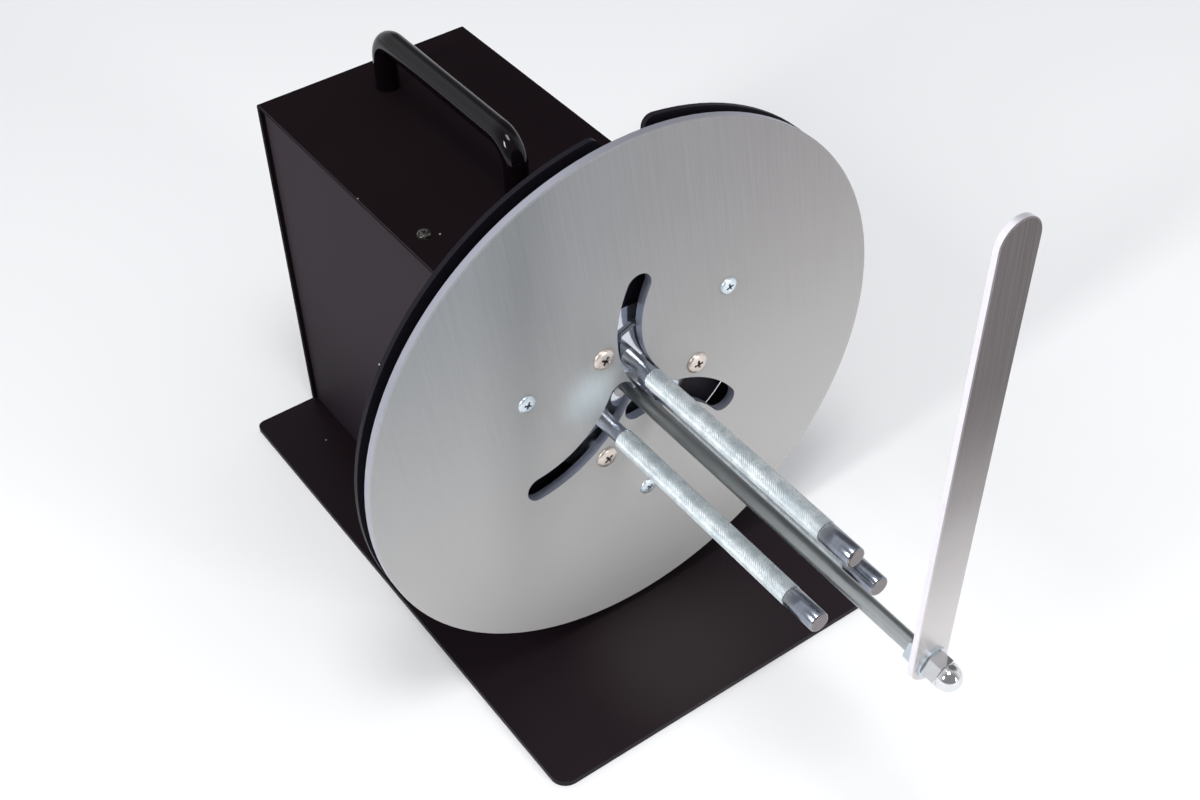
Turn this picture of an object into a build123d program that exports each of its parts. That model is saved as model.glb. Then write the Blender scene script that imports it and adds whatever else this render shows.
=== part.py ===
from build123d import *
import os
from math import cos, radians, sin, sqrt

# Manual label rewinder: a folded sheet housing on a flat base plate carries a
# horizontal spindle. On its front sits a round flange disc with three curved
# slots. Three knurled rods come out through the slots and grip the inside of a
# cardboard core: each is carried by an arm behind the disc, and a second disc
# with cam slots swings the three arms together. A crank on a long thin rod
# turns the spindle.
#
# Millimetres. +Z is up, -Y is the crank side, and X points right as seen from
# the front. The origin is the centre of the base plate's underside.

# ---------------------------------------------------------------- base plate
plate_width = 210.0
plate_thickness = 3.0
plate_front_corner_radius = 9.0
plate_back_corner_radius = 5.0

# ------------------------------------------------------------------- housing
housing_width = 131.2
housing_length = 228.5
housing_height = 218.7
housing_back_inset = 0.3        # from the plate's back edge
sheet_thickness = 2.0
sheet_bend_radius = 2.6         # outside of each fold
foot_length = 24.0              # turned-in feet of the front and back walls
panel_thickness = 1.5
panel_inset = 2.4               # side panels sit inside the folded strip's edges
panel_flange_width = 18.0
panel_bend_radius = 2.0         # corners where the flanges meet
panel_face_radius = 1.2         # fold between the face and each flange
panel_fit = 0.1                 # gap between a side panel and the strip round it

# -------------------------------------------------------------- carry handle
handle_bar_diameter = 13.0
handle_spacing = 128.0          # leg to leg
handle_height = 32.0            # top sheet to the bar's centre line
handle_bend_radius = 13.5       # on the centre line
handle_back_distance = 29.4     # rear leg to the housing's back face
handle_screw_diameter = 6.0
handle_screw_head_diameter = 12.0
handle_screw_head_height = 3.0
handle_screw_grip = 14.0        # thread length in each leg
handle_bore_extra = 4.0         # bore beyond the screw's end

# ------------------------------------------------------- winding axis, discs
axis_height = 159.5             # above the bench
disc_setback = 75.5             # plate's front edge to the front disc's face
disc_diameter = 300.0
disc_thickness = 5.0
disc_rim_chamfer = 0.6
cam_disc_diameter = 300.0
cam_disc_thickness = 3.0
cam_disc_rim_chamfer = 0.4
notch_angle = 89.0              # finger notch of the cam disc, from the right
notch_width = 24.0
notch_depth = 17.0
notch_bottom_radius = 9.0
notch_rim_radius = 5.5

# ------------------------------------------------------------- spindle parts
spindle_diameter = 15.0
spindle_collar_diameter = 20.0
spindle_collar_setback = 0.4    # hub's rear end to the spindle's collar
spindle_tail = 3.0              # beyond the rear retaining ring
crank_thread_depth = 22.0       # crank rod in the spindle's front end
crank_bore_extra = 2.0          # bore beyond the rod's end
running_fit = 0.05              # radial, on every pin, journal and cam
seat_fit = 0.01                 # radial, on every seat that does not turn
thread_fit = 0.04               # radial, between a screw and its hole
screw_play = 0.25               # radial, screw shank in a clearance hole
pan_head_rim = 0.45             # share of a pan head's height that is upright
cut_overrun = 1.0               # how far a cut runs past a face

# --------------------------------------------------------------- swing gear
pivot_circle = 139.0            # diameter through the arms' pivots
pivot_angle = 35.5              # first pivot, from the right
arm_count = 3
swing_radius = 59.75            # pivot to rod
rest_swing_angle = 15.8         # arm away from the hub direction as drawn
closing_swing_angle = 14.5      # travel towards the axis
opening_swing_angle = 45.0      # travel away from it
slot_width = 14.4
slot_inner_overrun_angle = 1.8  # slot beyond the travel
slot_outer_overrun_angle = 0.5
arm_thickness = 2.0
arm_pivot_eye_radius = 6.5
arm_rod_eye_radius = 5.35
arm_shoulder_radius = 7.0       # rounded heel on the outward side
arm_shoulder_offset = 8.5
arm_toe_radius = 2.0            # rounded corner beside the rod
arm_toe_back = 1.9              # from the rod's centre towards the pivot
arm_toe_offset = 12.6
arm_play = 0.1                  # between an arm and its washer
washer_thickness = 1.1
washer_diameter = 18.0
stud_diameter = 8.0
stud_head_diameter = 14.0
stud_head_thickness = 1.5
stud_play = 0.2                 # between an arm and the stud's head
pivot_screw_diameter = 5.0
pivot_screw_head_diameter = 9.8
pivot_screw_head_height = 2.0
drive_pin_diameter = 5.0
drive_pin_forward = 10.0        # along the arm from its pivot
drive_pin_outward = 10.0        # across the arm, away from the hub
drive_pin_short = 0.4           # pin's end below the cam disc's rear face
cam_overrun_angle = 1.0         # cam slot beyond the travel

# ----------------------------------------------------------------- core rods
rod_neck_diameter = 8.6
rod_neck_stand = 14.0           # neck length in front of the disc
rod_knurl_diameter = 10.7
rod_knurl_length = 124.5
rod_tip_diameter = 10.2
rod_tip_length = 20.0
rod_tip_chamfer = 0.9
rod_screw_diameter = 4.0
rod_screw_head_diameter = 7.4
rod_screw_grip = 12.0
rod_bore_extra = 2.0            # bore beyond the screw's end

# ----------------------------------------------------------------------- hub
hub_gap = 0.3                   # arms' back to the hub's face
hub_flange_diameter = 99.0
hub_flange_thickness = 2.4
hub_screw_circle = 75.5
hub_screw_angle = 0.0
hub_screw_diameter = 6.0
hub_screw_head_diameter = 12.0
hub_screw_head_height = 2.3
hub_screw_end_short = 0.5       # screw's end below the flange's rear face
hub_spacer_diameter = 10.0
cam_disc_gap = 0.1              # hub flange to cam disc
journal_diameter = 40.0
hub_tail = 6.5                  # behind the retaining collar
hub_wall_gap = 0.2              # hub's rear end to the housing's front wall
hub_set_screw_diameter = 5.0
hub_set_screw_length = 12.0
hub_set_screw_angle = 45.0
spring_thickness = 0.8
spring_height = 1.3             # free height of the dished ring
spring_diameter = 54.0
spring_gap = 0.1
collar_diameter = 58.0
collar_thickness = 5.0
collar_chamfer = 0.8
collar_set_screw_diameter = 3.0
collar_set_screw_length = 7.0
collar_set_screw_angle = 90.0

# ------------------------------------------------------------------ bearings
bearing_diameter = 35.0
bearing_width = 11.0
bearing_inner_ring_diameter = 21.2
bearing_outer_ring_bore = 28.8
bearing_pitch_diameter = 25.0
ball_diameter = 5.9
ball_count = 8
ball_fit = 0.08                 # between a ball and its track
bearing_recess = 3.2            # front bearing behind the flange's face
bearing_distance = 35.0         # front bearing to rear bearing, face to face
spacer_tube_diameter = 19.0
retaining_ring_diameter = 20.0
retaining_ring_thickness = 1.0
retaining_ring_groove_depth = 0.4
retaining_ring_opening = 7.0
bearing_flange_diameter = 86.0
bearing_flange_thickness = 7.0
bearing_body_diameter = 50.0
bearing_body_end = 3.0          # beyond the rear bearing
bearing_shoulder_bore = 29.0
bearing_fillet = 3.0
wall_hole_diameter = 38.0
bearing_screw_circle = 68.0
bearing_screw_count = 4
bearing_screw_diameter = 6.0
bearing_screw_head_diameter = 10.5
bearing_screw_head_height = 3.3

# --------------------------------------------------------------------- crank
crank_rod_diameter = 8.0
crank_reach = 204.2             # disc face to the crank arm's rear face
crank_arm_width = 20.6
crank_arm_thickness = 3.0
crank_arm_reach = 216.7         # axis to the centre of its far end
crank_arm_angle = 87.4          # from the right
crank_arm_edge_chamfer = 0.4
lock_nut_width = 13.0           # across the flats
lock_nut_height = 6.5
crank_washer_diameter = 16.0
crank_washer_thickness = 1.6
cap_nut_width = 13.0
cap_nut_hex_height = 7.5
cap_nut_height = 15.0
cap_nut_dome_diameter = 12.4
cap_nut_thread_depth = 9.0
cap_nut_bore_extra = 1.5        # bore beyond the rod's end
nut_chamfer_depth = 0.42
nut_chamfer_width = 0.7

# ------------------------------------------------------- housing's fasteners
cover_screw_side = 54.0         # either side of the centre line
cover_screw_front_distance = 72.9
cover_screw_diameter = 4.0
cover_screw_head_diameter = 7.6
cover_screw_head_height = 2.2
cover_screw_end = 1.0           # thread showing below the nut
cover_nut_width = 7.0
cover_nut_height = 3.2
base_screw_diameter = 5.0
base_screw_head_diameter = 9.6
base_screw_end = 1.0
base_nut_width = 8.0
base_nut_height = 4.0
foot_screw_side = 26.0
foot_screw_setback = 14.0       # from the housing's front or back face
panel_screw_edge = 40.0         # from the housing's front or back face
panel_screw_side = 12.0         # from the side panel's outer face

# ------------------------------------------------- positions worked out once
disc_to_housing = (disc_thickness + washer_thickness + arm_play + arm_thickness + hub_gap
                   + hub_flange_thickness + cam_disc_gap + cam_disc_thickness + spring_gap
                   + spring_height + spring_gap + collar_thickness + hub_tail + hub_wall_gap)
plate_length = disc_setback + disc_to_housing + housing_length + housing_back_inset
disc_face_y = -plate_length / 2 + disc_setback
disc_back_y = disc_face_y + disc_thickness
arm_front_y = disc_back_y + washer_thickness + arm_play
arm_back_y = arm_front_y + arm_thickness
stud_head_y = arm_back_y + stud_play
hub_face_y = arm_back_y + hub_gap
hub_flange_back_y = hub_face_y + hub_flange_thickness
cam_face_y = hub_flange_back_y + cam_disc_gap
cam_back_y = cam_face_y + cam_disc_thickness
spring_y = cam_back_y + spring_gap
collar_y = spring_y + spring_height + spring_gap
hub_back_y = collar_y + collar_thickness + hub_tail
housing_front_y = hub_back_y + hub_wall_gap
housing_back_y = housing_front_y + housing_length
housing_middle_y = (housing_front_y + housing_back_y) / 2
wall_back_y = housing_front_y + sheet_thickness
bearing_y = wall_back_y + bearing_recess
bearing_end_y = bearing_y + bearing_width
rear_bearing_y = bearing_y + bearing_distance
rear_bearing_end_y = rear_bearing_y + bearing_width
spindle_end_y = rear_bearing_end_y + retaining_ring_thickness + spindle_tail
housing_top_z = plate_thickness + housing_height
sheet_under_z = housing_top_z - sheet_thickness
crank_arm_back_y = disc_face_y - crank_reach
crank_arm_face_y = crank_arm_back_y - crank_arm_thickness
crank_washer_face_y = crank_arm_face_y - crank_washer_thickness

winding_axis = Axis((0, 0, axis_height), (0, -1, 0))
pivot_radius = pivot_circle / 2
hub_screw_radius = hub_screw_circle / 2
hub_direction = pivot_angle + 180
turn_step = 360 / arm_count


def front_view(y):
    """Plane square to the winding axis at y, drawn as seen from the front."""
    return Plane(origin=(0, y, axis_height), x_dir=(1, 0, 0), z_dir=(0, -1, 0))


def polar(radius, angle):
    """Point beside the winding axis, the angle from the right."""
    return radius * cos(radians(angle)), radius * sin(radians(angle))


def slab(outline, y_front, thickness):
    """Plate of an outline in the front view, from y_front backwards."""
    return extrude(front_view(y_front + thickness) * outline, thickness)


def bar(diameter, y_front, y_back, centre=(0, 0)):
    """Round bar along the winding direction."""
    return slab(Pos(*centre) * Circle(diameter / 2), y_front, y_back - y_front)


def tube(outside, inside, y_front, y_back, centre=(0, 0)):
    """Ring or tube along the winding direction."""
    section = Circle(outside / 2) - Circle(inside / 2)
    return slab(Pos(*centre) * section, y_front, y_back - y_front)


def around(solid, count, first=0.0):
    """Copies of a solid at even steps round the winding axis."""
    return [solid.rotate(winding_axis, first + n * 360 / count) for n in range(count)]


def save(name, *solids):
    """One file per node, holding its separate solids."""
    solids = [s for shape in solids for s in shape.solids()]
    export_step(solids[0] if len(solids) == 1 else Compound(children=solids), f"parts/{name}.step")


def pan_screw(diameter, head_diameter, head_height, length, place):
    """Pan-head screw: its head stands up from the place, its shank goes down."""
    rim = head_height * pan_head_rim
    top = head_diameter / 2 - (head_height - rim)
    head = Cylinder(head_diameter / 2, rim, align=(Align.CENTER, Align.CENTER, Align.MIN))
    head += Pos(0, 0, rim) * Cone(head_diameter / 2, top, head_height - rim,
                                  align=(Align.CENTER, Align.CENTER, Align.MIN))
    shank = Cylinder(diameter / 2, length, align=(Align.CENTER, Align.CENTER, Align.MAX))
    return place * (head + shank)


def flat_screw(diameter, head_diameter, length, place):
    """Countersunk screw with its head's face at the place and its shank below."""
    cone = (head_diameter - diameter) / 2
    head = Cone(diameter / 2, head_diameter / 2, cone, align=(Align.CENTER, Align.CENTER, Align.MAX))
    shank = Cylinder(diameter / 2, length, align=(Align.CENTER, Align.CENTER, Align.MAX))
    return place * (head + shank)


def flat_screw_hole(diameter, head_diameter, length, place):
    """Hole for a countersunk screw, a little wider all over."""
    wide = diameter + 2 * screw_play
    mouth = head_diameter + 2 * thread_fit
    cone = (mouth - wide) / 2
    head = Cone(wide / 2, mouth / 2, cone, align=(Align.CENTER, Align.CENTER, Align.MAX))
    return place * (head + Cylinder(wide / 2, length, align=(Align.CENTER, Align.CENTER, Align.MAX)))


def hexagon(width, height):
    """Hexagon prism on the ground, its corners turned off at both ends."""
    turned = Cylinder(width / sqrt(3), height, align=(Align.CENTER, Align.CENTER, Align.MIN))
    turned = chamfer(turned.edges().filter_by(GeomType.CIRCLE), nut_chamfer_depth, nut_chamfer_width)
    return extrude(RegularPolygon(width / 2, 6, major_radius=False), height) & turned


def inner_nut(width, height, bore, place):
    """Plain hexagon nut of the housing's inside, standing on the place."""
    section = RegularPolygon(width / 2, 6, major_radius=False) - Circle(bore / 2)
    return place * extrude(section, height)


# ================================================================ base plate
plate = extrude(Rectangle(plate_width, plate_length), plate_thickness)
plate = fillet(plate.edges().filter_by(Axis.Z).group_by(Axis.Y)[0], plate_front_corner_radius)
plate = fillet(plate.edges().filter_by(Axis.Z).group_by(Axis.Y)[-1], plate_back_corner_radius)

# Screws come up through the plate: four into the strip's feet and four into
# the side panels' bottom flanges.
panel_face_x = housing_width / 2 - panel_inset
foot_screw_places = [(side * foot_screw_side, y)
                     for side in (-1, 1)
                     for y in (housing_front_y + foot_screw_setback, housing_back_y - foot_screw_setback)]
panel_screw_places = [(side * (panel_face_x - panel_screw_side), y)
                      for side in (-1, 1)
                      for y in (housing_front_y + panel_screw_edge, housing_back_y - panel_screw_edge)]
upside_down = Rot(180, 0, 0)
base_screws, base_nuts = [], []
for places, sheet in ((foot_screw_places, sheet_thickness), (panel_screw_places, panel_thickness)):
    for x, y in places:
        below = Pos(x, y, 0) * upside_down
        reach = plate_thickness + sheet + base_nut_height + base_screw_end
        plate -= flat_screw_hole(base_screw_diameter, base_screw_head_diameter, plate_thickness, below)
        base_screws.append(flat_screw(base_screw_diameter, base_screw_head_diameter, reach, below))
        base_nuts.append(inner_nut(base_nut_width, base_nut_height, base_screw_diameter + 2 * thread_fit,
                                 Pos(x, y, plate_thickness + sheet)))
save("base_plate", plate)
save("base_screws", *base_screws)
save("base_nuts", *base_nuts)

# =================================================================== housing
# One strip of sheet is folded into the front wall, top and back wall, with a
# foot turned in at each end.
strip_middle = Pos(housing_middle_y, plate_thickness + housing_height / 2)
strip = RectangleRounded(housing_length, housing_height, sheet_bend_radius)
strip -= RectangleRounded(housing_length - 2 * sheet_thickness, housing_height - 2 * sheet_thickness,
                          sheet_bend_radius - sheet_thickness)
strip -= Pos(0, -housing_height / 2) * Rectangle(housing_length - 2 * foot_length, 3 * sheet_thickness)
cover = extrude(Plane.YZ * strip_middle * strip, housing_width / 2, both=True)
foot_half_width = panel_face_x - panel_flange_width - 2 * panel_fit
relief_width = housing_width / 2 - foot_half_width
for side in (-1, 1):
    relief = Box(relief_width, housing_length - 2 * sheet_thickness, sheet_bend_radius + sheet_thickness,
                 align=(Align.CENTER, Align.CENTER, Align.MIN))
    cover -= Pos(side * (foot_half_width + relief_width / 2), housing_middle_y, plate_thickness) * relief
cover_screw_y = housing_front_y + cover_screw_front_distance
rear_leg_y = housing_back_y - handle_back_distance
front_leg_y = rear_leg_y - handle_spacing
for x, y in foot_screw_places:
    cover -= Pos(x, y, plate_thickness) * Cylinder(base_screw_diameter / 2 + screw_play,
                                                   3 * sheet_thickness)
for side in (-1, 1):
    cover -= Pos(side * cover_screw_side, cover_screw_y, housing_top_z) * Cylinder(
        cover_screw_diameter / 2 + screw_play, 3 * sheet_thickness)
for y in (front_leg_y, rear_leg_y):
    cover -= Pos(0, y, housing_top_z) * Cylinder(handle_screw_diameter / 2 + screw_play,
                                                 3 * sheet_thickness)
bearing_screw_radius = bearing_screw_circle / 2
bearing_screw_start = 180 / bearing_screw_count
cover -= bar(wall_hole_diameter, housing_front_y - cut_overrun, wall_back_y + cut_overrun)
for n in range(bearing_screw_count):
    spot = polar(bearing_screw_radius, bearing_screw_start + n * 360 / bearing_screw_count)
    cover -= bar(bearing_screw_diameter + 2 * screw_play, housing_front_y - cut_overrun,
                 wall_back_y + cut_overrun, spot)
save("housing_cover", cover)

# Side panels are shallow trays that fill the strip's open ends, with their
# flanges turned inwards.
panel_length = housing_length - 2 * sheet_thickness - 2 * panel_fit
panel_height = housing_height - sheet_thickness - panel_fit
for side, name in ((-1, "left"), (1, "right")):
    panel_middle = Plane.YZ * Pos(housing_middle_y, plate_thickness + panel_height / 2)
    tray = extrude(panel_middle * RectangleRounded(panel_length, panel_height, panel_bend_radius),
                   panel_flange_width)
    tray = fillet(tray.edges().group_by(Axis.X)[-1], panel_face_radius)
    inner = RectangleRounded(panel_length - 2 * panel_thickness, panel_height - 2 * panel_thickness,
                             panel_bend_radius - panel_thickness)
    tray -= extrude(panel_middle * inner, panel_flange_width - panel_thickness)
    tray = Pos(panel_face_x - panel_flange_width, 0, 0) * tray
    for x, y in panel_screw_places[2:]:
        tray -= Pos(x, y, plate_thickness) * Cylinder(base_screw_diameter / 2 + screw_play,
                                                      3 * panel_thickness)
    tray -= Pos(cover_screw_side, cover_screw_y, sheet_under_z) * Cylinder(
        cover_screw_diameter / 2 + screw_play, 3 * panel_thickness)
    if side < 0:
        tray = mirror(tray, Plane.YZ)
    save(f"side_panel_{name}", tray)

# A pan-head screw and nut each side hold the strip's top to the side panels.
cover_nut_top_z = sheet_under_z - panel_fit - panel_thickness
cover_screw_length = sheet_thickness + panel_fit + panel_thickness + cover_nut_height + cover_screw_end
cover_screws = [pan_screw(cover_screw_diameter, cover_screw_head_diameter, cover_screw_head_height,
                          cover_screw_length, Pos(side * cover_screw_side, cover_screw_y, housing_top_z))
                for side in (-1, 1)]
cover_nuts = [inner_nut(cover_nut_width, cover_nut_height, cover_screw_diameter + 2 * thread_fit,
                      Pos(side * cover_screw_side, cover_screw_y, cover_nut_top_z - cover_nut_height))
              for side in (-1, 1)]
save("cover_screws", *cover_screws)
save("cover_nuts", *cover_nuts)

# ============================================================== carry handle
# A round bar bent into a flat-topped hoop, screwed on from inside the top.
bar_z = housing_top_z + handle_height
hoop = FilletPolyline((0, front_leg_y, housing_top_z), (0, front_leg_y, bar_z),
                      (0, rear_leg_y, bar_z), (0, rear_leg_y, housing_top_z), radius=handle_bend_radius)
handle = sweep(Pos(0, front_leg_y, housing_top_z) * Circle(handle_bar_diameter / 2), hoop)
handle_screws = []
for y in (front_leg_y, rear_leg_y):
    handle -= Pos(0, y, housing_top_z) * Cylinder(handle_screw_diameter / 2 + thread_fit,
                                                  handle_screw_grip + handle_bore_extra,
                                                  align=(Align.CENTER, Align.CENTER, Align.MIN))
    handle_screws.append(pan_screw(handle_screw_diameter, handle_screw_head_diameter,
                                   handle_screw_head_height, handle_screw_grip + sheet_thickness,
                                   Pos(0, y, sheet_under_z) * upside_down))
save("carry_handle", handle)
save("handle_screws", *handle_screws)

# ================================================= bearing housing, bearings
flange = bar(bearing_flange_diameter, wall_back_y, wall_back_y + bearing_flange_thickness)
body = bar(bearing_body_diameter, wall_back_y, rear_bearing_end_y + bearing_body_end)
carrier = flange + body
root_edges = carrier.edges().filter_by(GeomType.CIRCLE).group_by(SortBy.RADIUS)[0]
carrier = fillet(root_edges.sort_by(Axis.Y)[0], bearing_fillet)
bearing_seat = bearing_diameter + 2 * seat_fit
carrier -= bar(bearing_seat, wall_back_y, bearing_end_y)
carrier -= bar(bearing_shoulder_bore, bearing_end_y, rear_bearing_y)
carrier -= bar(bearing_seat, rear_bearing_y, rear_bearing_end_y + bearing_body_end)
bearing_screws = []
for n in range(bearing_screw_count):
    spot = polar(bearing_screw_radius, bearing_screw_start + n * 360 / bearing_screw_count)
    carrier -= bar(bearing_screw_diameter + 2 * thread_fit, wall_back_y,
                   wall_back_y + bearing_flange_thickness, spot)
    bearing_screws.append(pan_screw(bearing_screw_diameter, bearing_screw_head_diameter,
                                    bearing_screw_head_height, sheet_thickness + bearing_flange_thickness,
                                    front_view(housing_front_y) * Pos(*spot)))
save("bearing_housing", carrier)
save("bearing_housing_screws", *bearing_screws)

outer_rings, inner_rings, balls = [], [], []
inner_ring_bore = spindle_diameter + 2 * seat_fit
for front in (bearing_y, rear_bearing_y):
    middle = front + bearing_width / 2
    ball_centre = Pos(bearing_pitch_diameter / 2, middle, axis_height)
    track = revolve(ball_centre * Circle(ball_diameter / 2 + ball_fit), winding_axis)
    back = front + bearing_width
    outer_rings.append(tube(bearing_diameter, bearing_outer_ring_bore, front, back) - track)
    inner_rings.append(tube(bearing_inner_ring_diameter, inner_ring_bore, front, back) - track)
    balls += around(ball_centre * Sphere(ball_diameter / 2), ball_count)
save("bearing_outer_rings", *outer_rings)
save("bearing_inner_rings", *inner_rings)
save("bearing_balls", *balls)
save("bearing_spacer", tube(spacer_tube_diameter, inner_ring_bore, bearing_end_y, rear_bearing_y))

# =================================================================== spindle
spindle_collar_y = hub_back_y + spindle_collar_setback
spindle = bar(spindle_diameter, hub_face_y, spindle_end_y)
spindle += bar(spindle_collar_diameter, spindle_collar_y, bearing_y)
spindle -= bar(crank_rod_diameter + 2 * thread_fit, hub_face_y,
               hub_face_y + crank_thread_depth + crank_bore_extra)
groove_diameter = spindle_diameter - 2 * retaining_ring_groove_depth
spindle -= tube(spindle_diameter + cut_overrun, groove_diameter, rear_bearing_end_y,
                rear_bearing_end_y + retaining_ring_thickness)
save("spindle", spindle)

ring_section = Circle(retaining_ring_diameter / 2) - Circle(groove_diameter / 2 + seat_fit)
ring_section -= Pos(0, -retaining_ring_diameter / 2) * Rectangle(retaining_ring_opening,
                                                                retaining_ring_diameter)
save("retaining_ring", slab(ring_section, rear_bearing_end_y, retaining_ring_thickness))

# ======================================================================= hub
hub = bar(hub_flange_diameter, hub_face_y, hub_flange_back_y)
hub += bar(journal_diameter, hub_face_y, hub_back_y)
hub -= bar(spindle_diameter + 2 * seat_fit, hub_face_y, hub_back_y)
hub_set_y = hub_back_y - hub_tail / 2
collar_set_y = collar_y + collar_thickness / 2


def radial(y, radius, angle):
    """Place at a radius from the axis, its Z pointing outwards along the angle."""
    x, z = polar(radius, angle)
    ux, uz = polar(1, angle)
    return Plane(origin=(x, y, axis_height + z), x_dir=(0, 1, 0), z_dir=(ux, 0, uz))


hub_set_screws, collar_set_screws = [], []
for turn in (0, 180):
    grub_place = radial(hub_set_y, spindle_diameter / 2 + seat_fit, hub_set_screw_angle + turn)
    hub -= grub_place * Cylinder(hub_set_screw_diameter / 2 + thread_fit, journal_diameter,
                                 align=(Align.CENTER, Align.CENTER, Align.MIN))
    hub_set_screws.append(grub_place * Cylinder(hub_set_screw_diameter / 2, hub_set_screw_length,
                                                align=(Align.CENTER, Align.CENTER, Align.MIN)))
hub_screws, hub_spacers = [], []
hub_screw_length = hub_flange_back_y - hub_screw_end_short - disc_face_y
for n in range(arm_count):
    spot = polar(hub_screw_radius, hub_screw_angle + n * turn_step)
    hub -= bar(hub_screw_diameter + 2 * thread_fit, hub_face_y, hub_flange_back_y, spot)
    hub_spacers.append(tube(hub_spacer_diameter, hub_screw_diameter + 2 * screw_play,
                            disc_back_y, hub_face_y, spot))
    hub_screws.append(pan_screw(hub_screw_diameter, hub_screw_head_diameter, hub_screw_head_height,
                                hub_screw_length, front_view(disc_face_y) * Pos(*spot)))
save("hub", hub)
save("hub_set_screws", *hub_set_screws)
save("hub_spacers", *hub_spacers)
save("hub_screws", *hub_screws)

# A dished ring presses the cam disc forwards, held by a collar on the journal.
journal_seat = journal_diameter + 2 * seat_fit
spring_inner = journal_diameter / 2 + screw_play
with BuildPart() as spring:
    with BuildSketch(Plane.XY.offset(axis_height)):
        with BuildLine():
            Polyline((spring_inner, spring_y + spring_height - spring_thickness),
                     (spring_diameter / 2, spring_y),
                     (spring_diameter / 2, spring_y + spring_thickness),
                     (spring_inner, spring_y + spring_height),
                     close=True)
        make_face()
    revolve(axis=winding_axis)
save("spring_ring", spring.part)
collar = bar(collar_diameter, collar_y, collar_y + collar_thickness)
collar = chamfer(collar.edges().filter_by(GeomType.CIRCLE), collar_chamfer)
collar -= bar(journal_seat, collar_y, collar_y + collar_thickness)
for turn in (0, 180):
    grub_place = radial(collar_set_y, journal_seat / 2, collar_set_screw_angle + turn)
    collar -= grub_place * Cylinder(collar_set_screw_diameter / 2 + thread_fit, collar_diameter,
                                    align=(Align.CENTER, Align.CENTER, Align.MIN))
    collar_set_screws.append(grub_place * Cylinder(collar_set_screw_diameter / 2, collar_set_screw_length,
                                                   align=(Align.CENTER, Align.CENTER, Align.MIN)))
save("retaining_collar", collar)
save("collar_set_screws", *collar_set_screws)

# ================================================================ front disc
# Each slot is an arc about its arm's pivot, so that the rod's neck can follow
# it from beside the crank rod out to the largest core.
pivot_spot = polar(pivot_radius, pivot_angle)
closed_swing = rest_swing_angle - closing_swing_angle
open_swing = rest_swing_angle + opening_swing_angle
slot_arc = CenterArc(pivot_spot, swing_radius, hub_direction - open_swing - slot_outer_overrun_angle,
                     open_swing - closed_swing + slot_outer_overrun_angle + slot_inner_overrun_angle)
slot = SlotArc(slot_arc, slot_width)
disc = bar(disc_diameter, disc_face_y, disc_back_y)
disc = chamfer(disc.edges().filter_by(GeomType.CIRCLE), disc_rim_chamfer)
disc -= bar(crank_rod_diameter + 2 * screw_play, disc_face_y, disc_back_y)
for n in range(arm_count):
    disc -= slab(Rot(0, 0, n * turn_step) * slot, disc_face_y - cut_overrun,
                 disc_thickness + 2 * cut_overrun)
    disc -= bar(hub_screw_diameter + 2 * screw_play, disc_face_y, disc_back_y,
                polar(hub_screw_radius, hub_screw_angle + n * turn_step))
    disc -= bar(pivot_screw_diameter + 2 * screw_play, disc_face_y, disc_back_y,
                polar(pivot_radius, pivot_angle + n * turn_step))
save("front_disc", disc)

# =================================================================== pivots
# A screw from the front holds a headed stud against the disc's back. The arm
# turns on the stud, between a washer and the stud's head.
stud_end_y = stud_head_y + stud_head_thickness
stud = bar(stud_diameter, disc_back_y, stud_end_y, pivot_spot)
stud += bar(stud_head_diameter, stud_head_y, stud_end_y, pivot_spot)
stud -= bar(pivot_screw_diameter + 2 * thread_fit, disc_back_y, stud_end_y, pivot_spot)
pivot_washer = tube(washer_diameter, stud_diameter + 2 * running_fit,
                    disc_back_y, disc_back_y + washer_thickness, pivot_spot)
pivot_screw = pan_screw(pivot_screw_diameter, pivot_screw_head_diameter, pivot_screw_head_height,
                        stud_end_y - disc_face_y, front_view(disc_face_y) * Pos(*pivot_spot))
save("pivot_studs", *around(stud, arm_count))
save("pivot_washers", *around(pivot_washer, arm_count))
save("pivot_screws", *around(pivot_screw, arm_count))

# ================================================================ swing arms
# Drawn with the pivot at the origin and the rod along +X. The heel and toe on
# the outward side (-Y here) give the arm its wide paddle shape.
arm_outline = make_hull(
    (Circle(arm_pivot_eye_radius)
     + Pos(swing_radius, 0) * Circle(arm_rod_eye_radius)
     + Pos(0, -arm_shoulder_offset) * Circle(arm_shoulder_radius)
     + Pos(swing_radius - arm_toe_back, -arm_toe_offset) * Circle(arm_toe_radius)).edges())
arm_outline -= Circle(stud_diameter / 2 + running_fit)
arm_outline -= Pos(drive_pin_forward, -drive_pin_outward) * Circle(drive_pin_diameter / 2 + seat_fit)
arm_direction = hub_direction - rest_swing_angle
arm_place = Pos(*pivot_spot) * Rot(0, 0, arm_direction)
arm = slab(arm_place * arm_outline, arm_front_y, arm_thickness)

along = polar(1, arm_direction)
outward = polar(1, arm_direction - 90)
rod_spot = (pivot_spot[0] + swing_radius * along[0], pivot_spot[1] + swing_radius * along[1])
pin_offset = (drive_pin_forward * along[0] + drive_pin_outward * outward[0],
              drive_pin_forward * along[1] + drive_pin_outward * outward[1])
pin_spot = (pivot_spot[0] + pin_offset[0], pivot_spot[1] + pin_offset[1])
rod_back = front_view(arm_back_y) * Pos(*rod_spot) * Rot(180, 0, 0)
arm -= flat_screw_hole(rod_screw_diameter, rod_screw_head_diameter, arm_thickness + cut_overrun, rod_back)

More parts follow.
